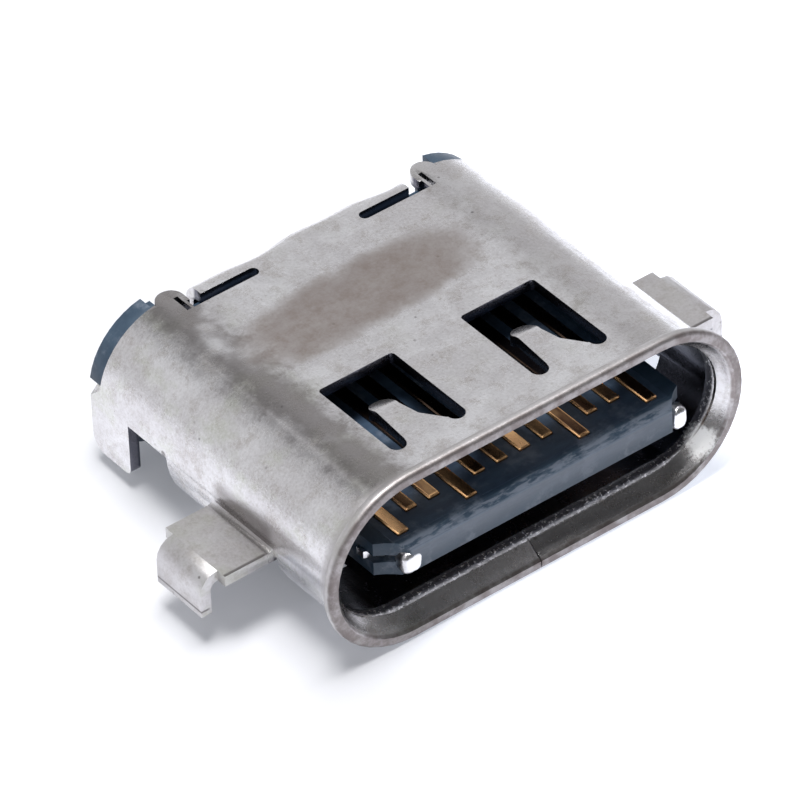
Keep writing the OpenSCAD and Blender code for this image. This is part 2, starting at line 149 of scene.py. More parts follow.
def cylinder(name, centre, radius, depth):
    """An upright round bar, for cutting."""
    work = bmesh.new()
    bmesh.ops.create_cone(work, cap_ends=True, segments=48, radius1=radius * MM, radius2=radius * MM,
                          depth=depth * MM, matrix=Matrix.Translation(Vector(centre) * MM))
    mesh = bpy.data.meshes.new(name)
    work.to_mesh(mesh)
    work.free()
    return new_piece(name, mesh)


def add_lump(work, centre, half):
    """Adds a worn metal lump: a ball pressed nearly square, with a wandering skin."""
    squareness, wander = 2.9, 0.04
    ball = bmesh.ops.create_icosphere(work, subdivisions=5, radius=1.0)["verts"]
    centre = Vector(centre)
    for vert in ball:
        way = vert.co.normalized()
        reach = sum(abs(c) ** squareness for c in way) ** (-1 / squareness)
        broad = noise.noise(way * 2.3 + centre)
        fine = noise.noise(way * 6.0 - centre)
        skin = 1.0 + wander * (broad + 0.4 * fine)
        vert.co = (centre + Vector([c * reach * skin * h for c, h in zip(way, half)])) * MM


def corner_cutters(spare=0.0):
    """Bars that cut the tongue's front corners back, and a plate in it by a spare more."""
    half, nose = tongue_front()
    return [cylinder("left_bite", (-half - 0.55, nose - 0.68, 0), 1.30 + spare, 2),
            cylinder("right_bite", (half + 0.35, nose - 0.48, 0), 0.96 + spare, 2)]


def ease_necks(mesh):
    """Moves the rear legs' upper corners down to where the round walls stand upright."""
    rear, low, high, tangent = 5.0 * MM, 0.2 * MM, 0.3 * MM, 0.02 * MM
    for vert in mesh.vertices:
        x, y, z = vert.co
        if abs(abs(x) - WALL) < 0.002 * MM and y > rear and low < z < high:
            vert.co.z = tangent


def wave_flap(mesh, look):
    """Gives the folded rear flap the slightly uneven line that the bending leaves."""
    work = bmesh.new()
    work.from_mesh(mesh)
    steps = 26
    reach = look.flap_half
    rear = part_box("shell")[1][1]
    hem = 0.50 * MM
    fade = 0.55 * MM
    for i in range(steps + 1):
        x = -reach + 2 * reach * i / steps
        faces = [face for face in work.faces if min(vert.co.y for vert in face.verts) > rear - hem]
        parts = {part for face in faces for part in (face, *face.edges, *face.verts)}
        bmesh.ops.bisect_plane(work, geom=list(parts), dist=0.0002 * MM, plane_co=(x, 0, 0),
                               plane_no=(1, 0, 0))
    for vert in work.verts:
        depth = 1.0 - (rear - vert.co.y) / fade
        side = 1.0 - (abs(vert.co.x) / reach) ** 4
        if depth > 0 and side > 0:
            x = vert.co.x / MM
            swell = math.sin(1.9 * x + 0.6) + 0.6 * math.sin(4.3 * x + 2.0) - 0.5
            vert.co.y += look.flap_wave * min(depth * 1.6, 1.0) * min(side * 3.0, 1.0) * swell
    work.to_mesh(mesh)
    work.free()


def finish_piece(piece, material, nodes=()):
    """Gives the piece its finish and ties it to the frame."""
    piece.data.materials.clear()
    piece.data.materials.append(material)
    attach(piece, "root")
    if nodes:
        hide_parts(*nodes)
    return piece


# ---- small tools for materials ----

def apart(*offsets):
    """The distance to a place, from the offsets along the axes."""
    total = offsets[0] ** 2.0
    for offset in offsets[1:]:
        total = total + offset ** 2.0
    return total ** 0.5


class Wire:
    """A socket of a shader tree that can be used in plain arithmetic."""

    def __init__(self, board, socket):
        self.board = board
        self.socket = socket

    def math(self, operation, first, second):
        return self.board.node("ShaderNodeMath", {"operation": operation}, {0: first, 1: second})

    def __add__(self, other):
        return self.math("ADD", self, other)

    def __radd__(self, other):
        return self.math("ADD", other, self)

    def __sub__(self, other):
        return self.math("SUBTRACT", self, other)

    def __rsub__(self, other):
        return self.math("SUBTRACT", other, self)

    def __mul__(self, other):
        return self.math("MULTIPLY", self, other)

    def __rmul__(self, other):
        return self.math("MULTIPLY", other, self)

    def __truediv__(self, other):
        return self.math("DIVIDE", self, other)

    def __pow__(self, other):
        return self.math("POWER", self, other)

    def over(self, other):
        """1 where this value is greater than the other."""
        return self.math("GREATER_THAN", self, other)

    def size(self):
        """The value without its sign."""
        return self.math("ABSOLUTE", self, 0.0)

    def floor(self):
        """The whole number at or below this value."""
        return self.math("FLOOR", self, 0.0)

    def smallest(self, other):
        return self.math("MINIMUM", self, other)

    def greatest(self, other):
        return self.math("MAXIMUM", self, other)

    def rise(self, low, high):
        """0 below low, 1 above high, and smooth between them."""
        return self.board.node("ShaderNodeMapRange", {"interpolation_type": "SMOOTHSTEP"},
                               {"Value": self, "From Min": low, "From Max": high})

    def fall(self, low, high):
        """1 below low, 0 above high, and smooth between them."""
        return 1.0 - self.rise(low, high)


class Board:
    """The shader tree of one material, or of the world."""

    def __init__(self, name, world=None):
        self.material = world or bpy.data.materials.new(name)
        self.material.use_nodes = True
        self.tree = self.material.node_tree
        self.tree.nodes.clear()
        end = "ShaderNodeOutputWorld" if world else "ShaderNodeOutputMaterial"
        self.end = self.tree.nodes.new(end)
        place = self.node("ShaderNodeTexCoord", out="Object")
        self.mm = self.node("ShaderNodeVectorMath", {"operation": "SCALE"},
                            {0: place, "Scale": 1 / MM})

    def node(self, kind, settings=None, sockets=None, out=0):
        """Any node: its settings first, then the values or links of its sockets."""
        made = self.tree.nodes.new(kind)
        for key, value in (settings or {}).items():
            setattr(made, key, value)
        for key, value in (sockets or {}).items():
            socket = made.inputs[key]
            if isinstance(value, Wire):
                self.tree.links.new(value.socket, socket)
            elif value is not None:
                socket.default_value = value
        return Wire(self, made.outputs[out])

    def split(self, vector):
        """A vector's parts along X, Y and Z."""
        parts = self.node("ShaderNodeSeparateXYZ", None, {0: vector})
        return [Wire(self, socket) for socket in parts.socket.node.outputs]

    def axes(self):
        """X, Y and Z in millimetres."""
        return self.split(self.mm)

    def facing(self):
        """The parts of the surface's own direction along X, Y and Z."""
        return self.split(self.node("ShaderNodeNewGeometry", out="Normal"))

    def ray(self, *kinds):
        """1 where the light's path is of one of these kinds."""
        path = self.node("ShaderNodeLightPath").socket.node.outputs
        seen = Wire(self, path[kinds[0]])
        for kind in kinds[1:]:
            seen = seen.greatest(Wire(self, path[kind]))
        return seen

    def stretched(self, x, y, z):
        """Object coordinates in millimetres, scaled along each axis."""
        return self.node("ShaderNodeVectorMath", {"operation": "MULTIPLY"}, {0: self.mm, 1: (x, y, z)})

    def noise(self, scale, detail=3.0, roughness=0.55, vector=None, distortion=0.0):
        return self.node("ShaderNodeTexNoise", None,
                         {"Vector": vector or self.mm, "Scale": scale, "Detail": detail,
                          "Roughness": roughness, "Distortion": distortion})

    def dots(self, scale):
        """Distance to the nearest of many scattered points."""
        return self.node("ShaderNodeTexVoronoi", {"feature": "F1"}, {"Vector": self.mm, "Scale": scale})

    def layered(self, base, layers):
        """A colour with others laid over it in turn, each where its mask is 1."""
        base = (*base, 1)
        for mask, colour in layers:
            base = self.node("ShaderNodeMix", {"data_type": "RGBA"},
                             {0: mask, 6: base, 7: (*colour, 1)}, out=2)
        return base

    def bump(self, height, strength, distance, after=None):
        return self.node("ShaderNodeBump", None,
                         {"Height": height, "Strength": strength, "Distance": distance, "Normal": after})

    def close(self, shader):
        """Ends the tree with a shader."""
        self.tree.links.new(shader.socket, self.end.inputs["Surface"])
        return self.material

    def surface(self, **sockets):
        """The finished surface."""
        named = {key.replace("_", " "): value for key, value in sockets.items()}
        return self.close(self.node("ShaderNodeBsdfPrincipled", None, named))


# ---- finishes ----

# places on the shell, in millimetres
ROUND_X = 2.83                  # middle of the round side walls
TAB_X = 4.50                    # where the side tabs stand clear of the walls
FIELD = (-0.27, 4.72)           # middle of the annealed field, as X and Y
FIELD_HALF = (2.62, 0.90)       # half of its length and half of its width
LEDGE_Y = 1.87                  # pressed line across a side tab
COINED_Z = -0.93                # pressed line across the leg of a side tab
NOTCH_SPOT = (4.96, 0.02)             # painted dark spot in place of the relief notch in a wall's lower edge, as Y and Z
HIGHLIGHT_SPOT = (3.80, 0.22, -1.10)    # the painted highlight beside the plug, as X, Y and Z


class SheetPlaces:
    """Where each finish lies on the shell, as masks from 0 to 1."""

    def __init__(self, board):
        self.board = board
        self.x, self.y, self.z = board.axes()
        self.out = self.x.size()
        self.face_x, self.face_y, self.face_z = board.facing()
        self.middle = board.noise(2.6, 6.0, 0.72)
        self.fine = board.noise(19.0, 4.0, 0.7)
        self.torn = board.noise(15.0, 3.0, 0.7)
        self.inside = self.inner_faces()
        self.tab = self.out.rise(TAB_X, TAB_X + 0.10)
        self.mouth = self.inside * self.y.rise(0.05, 0.09)

    def inner_faces(self):
        """The faces that look inwards, without the tops of the side tabs."""
        out_x = self.x - self.x.greatest(-ROUND_X).smallest(ROUND_X)
        inwards = (0.0 - (self.face_x * out_x + self.face_z * self.z)).rise(0.02, 0.20)
        return inwards * (1.0 - self.out.rise(4.36, 4.42) * self.y.rise(0.50, 0.60))

    def band(self):
        """Painted shade: a dull band where the top rolls over into each side, stronger on the left."""
        band = (self.out - 2.95 + (self.middle - 0.5) * 1.1).size().fall(0.16, 0.74)
        band = band * self.board.noise(0.8, 3.0).rise(0.24, 0.46)
        return band * (1.0 - self.x.rise(-1.0, 1.0) * 0.6) * self.z.rise(0.6, 1.1)

    def pits(self):
        """Small pits, scattered in patches."""
        return self.board.dots(2.1).fall(0.035, 0.085) * self.board.noise(0.9, 1.0).rise(0.48, 0.60)

    def field(self):
        """The laser-annealed field on the top, left bare."""
        wander = (self.board.noise(1.4, 4.0) - 0.5) * 1.1
        along = ((self.x - FIELD[0]) / FIELD_HALF[0]).size() ** 3.0
        across = ((self.y - self.x * 0.045 - FIELD[1]) / FIELD_HALF[1]).size() ** 3.0
        return (along + across + wander).fall(0.25, 1.25) * self.z.rise(1.40, 1.46)

    def sheared(self):
        """Painted shade on faces that the punch has cut: the windows and slots of the top, and the legs.
        """
        top = self.face_z.size().fall(0.3, 0.6) * self.z.rise(1.20, 1.26) * self.out.fall(2.70, 2.80)
        top = top * self.y.rise(0.60, 0.70) * self.y.fall(6.7, 6.8)
        legs = (0.0 - self.face_y).rise(0.80, 0.95) * self.out.rise(3.9, 4.1) * self.y.rise(3.5, 4.0)
        return top.greatest(legs)

    def tab_shade(self):
        """Painted shade at the roots of the side tabs, on the wall just above them, and a little over the
        tabs.
        """
        root = self.out.rise(4.22, 4.30) * self.out.fall(TAB_X, TAB_X + 0.06)
        root = root * self.y.rise(1.70, 2.05) * self.y.fall(3.25, 3.62)
        root = root * self.z.rise(-0.50, -0.40) * self.z.fall(0.20, 0.45)
        return (root * 0.75).greatest(self.tab * self.y.rise(0.8, 0.9) * 0.32)

    def dark_marks(self):
        """The pressed lines of the side tabs, and a painted dark spot on each wall in place of its relief
        notch.
        """
        ledge = self.tab * (self.y - LEDGE_Y).size().fall(0.02, 0.06) * self.face_z.rise(0.5, 0.8)
        coined = self.out.rise(5.6, 5.7) * (self.z - COINED_Z).size().fall(0.012, 0.030)
        # painted shade: a dark round spot where a relief notch would show dark; no notch is cut
        notch_shade = apart(self.y - NOTCH_SPOT[0], self.z - NOTCH_SPOT[1]).fall(0.045, 0.075) * self.out.rise(4.0, 4.1)
        return ledge.greatest(coined).greatest(notch_shade)

    def rubbed(self):
        """A painted highlight: the white spot beside the plug, on the inner flare."""
        spot = apart((self.x - HIGHLIGHT_SPOT[0]) * 1.3, (self.y - HIGHLIGHT_SPOT[1]) * 1.2, self.z - HIGHLIGHT_SPOT[2])
        ragged = (self.torn - 0.5) * 0.5 + (self.middle - 0.5) * 0.5
        return (spot + ragged).fall(0.22, 0.42) * self.inside


def satin_steel(look):
    """Drawn and folded steel: mottled, faintly stained, with an annealed patch on the top."""
    board = Board("satin_steel_sheet")
    sheet = SheetPlaces(board)
    x, y = sheet.x, sheet.y
    middle, fine, torn, mouth = sheet.middle, sheet.fine, sheet.torn, sheet.mouth
    broad = board.noise(0.70, 5.0, 0.66, distortion=0.4)
    film = board.noise(1.3, 4.0, 0.6, board.stretched(1.0, 0.7, 1.3))
    drawn = board.noise(6.0, 2.0, 0.5, board.stretched(2.2, 0.18, 2.2))
    field = sheet.field()
    flare = y.fall(0.34, 0.56) * (1.0 - sheet.inside)
    rim = y.fall(0.03, 0.09)
    throat = mouth * y.rise(0.33, 0.42) * y.fall(0.48, 0.58)
    spot = sheet.rubbed()
    base = board.layered(look.steel, (
        (broad.rise(0.34, 0.62), look.steel_shade),
        (middle.rise(0.46, 0.70) * 0.65, look.stain),
        (film.rise(0.50, 0.68) * (x.fall(-3.2, -1.4) * 0.5 + 0.15), look.film),
        (fine.rise(0.40, 0.70) * 0.32, look.grain),
        (fine.fall(0.30, 0.46) * 0.32, look.stain),
        # painted shade in a dull band along each roll of the top
        (sheet.band() * 0.80, look.bend_shade),
        (sheet.pits() * 0.75, look.pit),
        (field * (0.50 + middle * 0.6), look.annealed),
        # painted shade, nearly black, on the cut faces of the windows, slots and legs
        (sheet.sheared() * (0.72 + fine * 0.3), look.sheared),
        # painted shade at the tab roots and a little over the tabs
        (sheet.tab_shade(), look.bend_shade),
        (sheet.dark_marks() * 0.8, look.pit),
        (flare * (0.45 + middle * 0.4), look.burnished),
        (rim * (0.45 + middle.rise(0.35, 0.6) * 0.5), look.rim),
        (mouth * y.fall(0.42, 0.50) * 0.35, look.burnished),
        # painted shade, nearly black, deep in the mouth and in its throat
        (mouth * y.rise(0.44, 0.58) * 0.94, look.mouth_shade),
        (throat * 0.85, look.mouth_shade),
        (throat * torn.rise(0.57, 0.63), look.grain),
        # painted highlight: a white spot on the inner flare beside the plug
        (spot, look.rubbed),
    ))
    rough = 0.15 + middle * 0.16 + fine * 0.06 + field * 0.12 + rim * 0.10 + flare * 0.20 + throat * 0.1
    rough = rough + spot * 0.25 + sheet.tab * 0.14
    grain = board.bump(fine * 0.8 + drawn * 0.4, 0.34, 0.012 * MM)
    waves = board.bump(board.noise(0.75, 2.0) + middle * 0.16, 0.42, 0.05 * MM, grain)
    scuff = board.bump(torn * throat, 1.0, 0.09 * MM, waves)
    return board.surface(Base_Color=base, Metallic=look.metal, Roughness=rough, Normal=scuff)


def moulded(name, colour, pale, dust_and_sheen, rough, nose=False):
    """Glass-filled moulded plastic with a faint flow pattern, dusty specks and clouds; on a nose, also
    painted highlight and shade.
    """
    board = Board(name)
    y, z = board.axes()[1:]
    flow = board.noise(2.4, 4.0, 0.6, board.stretched(0.5, 1.4, 1.4))
    fine = board.noise(20.0, 3.0, 0.65)
    cloud = board.noise(1.5, 5.0, 0.7)
    speck = board.dots(7.5).fall(0.03, 0.10) * board.noise(1.6).rise(0.48, 0.64)
    layers = [(flow.rise(0.35, 0.7), pale),
              (speck * 0.7, dust_and_sheen),
              (fine.rise(0.45, 0.8) * 0.35, pale),
              (cloud.rise(0.50, 0.68) * 0.5, dust_and_sheen)]
    if nose:
        # the nose: scraped pale in streaks, laid on as a painted highlight along the bevel and as a front
        # painted paler towards its top and darker lower down
        scrape = board.noise(3.4, 5.0, 0.7, board.stretched(0.45, 2.2, 2.2))
        bevel = y.fall(0.06, 0.16) * y.rise(-0.055, -0.03) * z.rise(0.0, 0.1)
        front = y.fall(-0.06, -0.03) * z.rise(-0.22, 0.20)
        layers += [(bevel * scrape.rise(0.44, 0.56) * 0.75, dust_and_sheen),
                   (front * (0.35 + scrape * 0.7), dust_and_sheen)]
    base = board.layered(colour, layers)
    skin = board.bump(fine * 0.7 + flow * 0.4, 0.25, 0.012 * MM)
    return board.surface(Base_Color=base, Roughness=rough + (flow - 0.5) * 0.2, Normal=skin)


def bright_steel(name, colour, shade):
    """Stamped, unplated steel of the small inner plates."""
    board = Board(name)
    fine = board.noise(11.0, 3.0, 0.6)
    broad = board.noise(2.5, 3.0, 0.55)
    base = board.layered(colour, ((broad.rise(0.35, 0.7), shade),))
    skin = board.bump(fine + broad, 0.2, 0.012 * MM)
    return board.surface(Base_Color=base, Metallic=1.0, Roughness=0.22 + fine * 0.14, Normal=skin)


def plated_gold(look):
    """Gold over nickel: coppery where worn, with a painted dark reflection on the top faces, and gold left
    bright on the punched edges.
    """
    board = Board("gold_plating")
    x, y = board.axes()[:2]
    pitch = look.pitch / MM
    long_tip, short_tip = [frame_mm(node)[0][1] for node in ("contact_a01", "contact_a02")]
    worn = board.noise(4.0, 4.0, 0.62, board.stretched(1.0, 0.35, 1.0))
    fine = board.noise(22.0, 3.0, 0.6)
    flat = board.facing()[2].rise(0.86, 0.97)
    # each contact's own place in the row, its punched edges and its tip
    lane = x.size() / pitch
    place = lane.floor()
    is_long = (place.over(4.5) + place.over(1.5) - place.over(2.5)).smallest(1.0)
    side = (lane - place - 0.5).size().rise(0.155, 0.20)
    tip = (y - short_tip + is_long * (short_tip - long_tip)).fall(0.03, 0.07)
    own = board.node("ShaderNodeTexWhiteNoise", {"noise_dimensions": "1D"}, {"W": (x / pitch).floor()})
    # two contacts of the row keep their gold: a painted highlight where they catch the light
    first, middle = (x + 5.5 * pitch).size(), (x - 0.5 * pitch).size()
    clean = first.smallest(middle).fall(0.15, 0.2)
    # painted dark reflection on the flat top faces, leaving edges and tips gold, with a random tone for
    # each contact
    face_shade = flat * (1.0 - side.greatest(tip)) * (0.70 + own * 0.30) * (1.0 - clean * 0.90)
    face_shade = face_shade * (0.80 + worn.rise(0.3, 0.7) * 0.20)
    base = board.layered(look.gold, (
        (worn.rise(0.38, 0.68) * 0.4, look.copper),
        (face_shade, look.face_shade),
        (y.rise(1.15, 1.6) * 0.85, look.shaded),
    ))
    skin = board.bump(fine * 0.5 + worn, 0.18, 0.010 * MM)
    return board.surface(Base_Color=base, Metallic=1.0, Roughness=0.20 + worn * 0.12, Normal=skin)


# ---- what a user can change ----

class ShellLook(bpy.types.PropertyGroup):
    edge: FloatProperty(name="Broken edge", description="Radius of the sheet's broken edges",
                        default=0.025 * MM, min=0.0, unit="LENGTH")
    flap_half: FloatProperty(name="Flap", description="Half of the width of the flap's uneven line",
                             default=2.75 * MM, min=0.1 * MM, unit="LENGTH")
    flap_wave: FloatProperty(name="Flap wave", description="How far the flap's line wanders",
                             default=0.045 * MM, min=0.0, unit="LENGTH")
    metal: FloatProperty(name="Metal", description="How metallic the sheet is",
                         default=1.0, min=0.0, max=1.0, subtype="FACTOR")
    steel: FloatVectorProperty(name="Steel", description="Colour of the clean sheet",
                               default=(0.76, 0.75, 0.765), size=3, subtype="COLOR")
    steel_shade: FloatVectorProperty(name="Shaded steel", description="Colour of the duller areas",
                                     default=(0.60, 0.58, 0.59), size=3, subtype="COLOR")
    stain: FloatVectorProperty(name="Stain", description="Colour of the brown stains",
                               default=(0.42, 0.385, 0.36), size=3, subtype="COLOR")
    film: FloatVectorProperty(name="Oil film", description="Colour of the greenish film",
                              default=(0.56, 0.57, 0.50), size=3, subtype="COLOR")
    grain: FloatVectorProperty(name="Grain", description="Colour of the fine grain",
                               default=(0.88, 0.87, 0.89), size=3, subtype="COLOR")
    pit: FloatVectorProperty(name="Pit", description="Colour of the small pits",
                             default=(0.12, 0.11, 0.11), size=3, subtype="COLOR")
    annealed: FloatVectorProperty(name="Annealed", description="Colour of the annealed field",
                                  default=(0.26, 0.215, 0.195), size=3, subtype="COLOR")
    rim: FloatVectorProperty(name="Rim", description="Colour of the lip's sheared rim",
                             default=(0.22, 0.19, 0.185), size=3, subtype="COLOR")
    burnished: FloatVectorProperty(name="Burnished", description="Colour of the drawn flare",
                                   default=(0.40, 0.38, 0.38), size=3, subtype="COLOR")
    # painted shade for the bands along the rolls of the top and for the tab roots
    bend_shade: FloatVectorProperty(name="Painted_bend_shade", description="Colour of the dull bands at the bends",
                                default=(0.22, 0.20, 0.195), size=3, subtype="COLOR")
    # nearly black painted shade for the cut faces of the windows, slots and legs
    sheared: FloatVectorProperty(name="Cut_face_shade", description="Colour of the faces that the punch cut",
                                 default=(0.075, 0.075, 0.105), size=3, subtype="COLOR")
    # nearly black painted shade deep in the mouth
    mouth_shade: FloatVectorProperty(name="Shade_in_mouth", description="Colour of the sheet deep in the mouth",
                               default=(0.026, 0.030, 0.048), size=3, subtype="COLOR")
    # white painted highlight for the spot beside the plug
    rubbed: FloatVectorProperty(name="Painted_highlight", description="Colour of the spot that plugs have rubbed",
                                default=(1.0, 1.0, 1.0), size=3, subtype="COLOR")


class PlasticLook(bpy.types.PropertyGroup):
    edge: FloatProperty(name="Soft edge", description="Radius of the moulded edges",
                        default=0.02 * MM, min=0.0, unit="LENGTH")
    body: FloatVectorProperty(name="Body", description="Colour of the housing",
                              default=(0.017, 0.038, 0.068), size=3, subtype="COLOR")
    body_pale: FloatVectorProperty(name="Pale body", description="Paler colour of the housing",
                                   default=(0.034, 0.064, 0.102), size=3, subtype="COLOR")
    block: FloatVectorProperty(name="Block", description="Colour of the terminal blocks",
                               default=(0.028, 0.050, 0.090), size=3, subtype="COLOR")
    block_pale: FloatVectorProperty(name="Pale block", description="Paler colour of the blocks",
                                    default=(0.050, 0.085, 0.135), size=3, subtype="COLOR")
    # this colour serves the dusty specks, and also the painted highlight along the tongue's nose and the
    # painted light on its front
    dust_and_sheen: FloatVectorProperty(name="Dust_and_painted_sheen", description="Colour of the dust and of the worn nose",
                              default=(0.18, 0.21, 0.265), size=3, subtype="COLOR")


class PlateLook(bpy.types.PropertyGroup):
    latch_edge: FloatProperty(name="Latch edge", description="Radius of the latch plate's edges",
                              default=0.03 * MM, min=0.0, unit="LENGTH")
    ground_edge: FloatProperty(name="Ground edge", description="Radius of the ground plates' edges",
                               default=0.015 * MM, min=0.0, unit="LENGTH")
    latch: FloatVectorProperty(name="Latch", description="Colour of the latch plate",
                               default=(0.78, 0.78, 0.80), size=3, subtype="COLOR")
    latch_shade: FloatVectorProperty(name="Shaded latch", description="Duller colour of the latch plate",
                                     default=(0.62, 0.61, 0.62), size=3, subtype="COLOR")
    ground: FloatVectorProperty(name="Ground", description="Colour of the ground plates",
                                default=(0.62, 0.60, 0.58), size=3, subtype="COLOR")
    ground_shade: FloatVectorProperty(name="Shaded ground", description="Duller colour of those plates",
                                      default=(0.48, 0.46, 0.45), size=3, subtype="COLOR")


class ContactLook(bpy.types.PropertyGroup):
    edge: FloatProperty(name="Coined edge", description="Radius of a contact's edges",
                        default=0.024 * MM, min=0.0, unit="LENGTH")
    pitch: FloatProperty(name="Pitch", description="Distance between neighbouring contacts",
                         default=0.5 * MM, min=0.1 * MM, unit="LENGTH")
    count: IntProperty(name="Contacts", description="Contacts in a row", default=12, min=2)
    gold: FloatVectorProperty(name="Gold", description="Colour of the plating",
                              default=(1.0, 0.60, 0.29), size=3, subtype="COLOR")
    copper: FloatVectorProperty(name="Copper", description="Colour where the plating is thin",
                                default=(0.75, 0.38, 0.19), size=3, subtype="COLOR")
    # dark painted reflection for the contacts' top faces
    face_shade: FloatVectorProperty(name="Painted_face_shade", description="Colour of the contacts' worn faces",
                                 default=(0.055, 0.024, 0.015), size=3, subtype="COLOR")
    shaded: FloatVectorProperty(name="Shade_in_mouth", description="Colour of the contacts deep in the mouth",
                                default=(0.030, 0.034, 0.050), size=3, subtype="COLOR")


class StageLook(bpy.types.PropertyGroup):
    floor: FloatVectorProperty(name="Floor", description="Colour of the floor",
                               default=(0.62, 0.62, 0.64), size=3, subtype="COLOR")
    paper_light: FloatVectorProperty(name="Paper light", description="Colour of the floor's own light",
                                     default=(0.84, 0.89, 1.0), size=3, subtype="COLOR")
    glow: FloatProperty(name="Paper glow", description="Light that the floor adds to its own shade",
                        default=0.16, min=0.0)
    # painted light: the paper's glow towards the front and the right, which lights nothing
    under: FloatProperty(name="Light box", description="Light from under the paper, towards the mouth",
                         default=0.55, min=0.0)
    mirrored: FloatProperty(name="Mirrored glow", description="What reflections add to the paper's glow",
                            default=0.18, min=0.0)
    room: FloatVectorProperty(name="Room", description="Colour of the room",
                              default=(0.97, 0.98, 1.0), size=3, subtype="COLOR")
    sky: FloatProperty(name="Room light", description="Strength of the room's light from behind",
                       default=0.80, min=0.0)
    sky_front: FloatProperty(name="Front light", description="Strength of the room's light from the front",
                             default=0.14, min=0.0)
    azimuth: FloatProperty(name="Azimuth", description="Direction of the view, 0 looks along +Y",
                           default=math.radians(-36.788), subtype="ANGLE")
    elevation: FloatProperty(name="Elevation", description="Height of the view over the board plane",
                             default=math.radians(39.637), subtype="ANGLE")
    roll: FloatProperty(name="Roll", description="Turn of the view about its own axis",
                        default=math.radians(-2.181), subtype="ANGLE")
    distance: FloatProperty(name="Distance", description="From the camera to the aim point",
                            default=143.24 * MM, unit="LENGTH")
    lens: FloatProperty(name="Lens", description="Focal length in millimetres", default=367.34)


# ---- operators ----

class SOCKET_OT_shell(bpy.types.Operator):
    """Makes the folded steel shell with its lip, fingers, tabs and legs"""
    bl_idname = "socket.shell"
    bl_label = "Steel shell"

    def execute(self, context):
        look = context.scene.socket_shell
        piece = new_piece("folded_shell", cad_mesh("shell", "folded_shell"))
        ease_necks(piece.data)
        wave_flap(piece.data, look)
        round_edges(piece, look.edge)
        finish_piece(piece, satin_steel(look), ["shell"])
        return {"FINISHED"}


class SOCKET_OT_plastic(bpy.types.Operator):
    """Makes the moulded housing and the two terminal blocks"""
    bl_idname = "socket.plastic"
    bl_label = "Moulded plastic"

    def execute(self, context):
        look = context.scene.socket_plastic
        body = moulded("slate_housing", look.body, look.body_pale, look.dust_and_sheen, 0.46, nose=True)
        block = moulded("navy_terminal_block", look.block, look.block_pale, look.dust_and_sheen, 0.42)
        piece = new_piece("moulded_housing", cad_mesh("housing", "moulded_housing"))
        pare(piece, corner_cutters())
        finish_piece(round_edges(piece, look.edge), body, ["housing"])
        for side in ("upper", "lower"):
            name = side + "_block_moulding"
            node = side + "_terminal_block"
            piece = new_piece(name, cad_mesh(node, name))
            finish_piece(round_edges(piece, look.edge / 2, 1), block, [node])
        return {"FINISHED"}


class SOCKET_OT_plates(bpy.types.Operator):
    """Makes the latch plate in the tongue and the two ground plates"""
    bl_idname = "socket.plates"
    bl_label = "Inner plates"

    def execute(self, context):
        look = context.scene.socket_plates
        bright = bright_steel("bright_latch_steel", look.latch, look.latch_shade)
        satin = bright_steel("satin_ground_steel", look.ground, look.ground_shade)
        piece = new_piece("latch_plate", cad_mesh("mid_plate", "latch_plate"))
        pare(piece, corner_cutters(spare=0.16))
        finish_piece(round_edges(piece, look.latch_edge), bright, ["mid_plate"])
        finish_piece(self.ends(), bright)
        for side in ("upper", "lower"):
            name = side + "_ground_sheet"
            node = side + "_ground_plate"
            piece = new_piece(name, cad_mesh(node, name))
            finish_piece(round_edges(piece, look.ground_edge), satin, [node])
        return {"FINISHED"}

    def ends(self):
        """The plate's front ends, folded thick and rubbed bright by plugs."""
        half, nose = tongue_front()
        work = bmesh.new()
        for x, size in ((0.58 - half, (0.22, 0.18, 0.24)), (half - 0.28, (0.16, 0.17, 0.24))):
            add_lump(work, (x, nose + 0.15, -0.06), size)
        mesh = bpy.data.meshes.new("latch_ends")
        work.to_mesh(mesh)
        work.free()
        smooth_by_angle(mesh, 60)
        return new_piece("latch_ends", mesh)


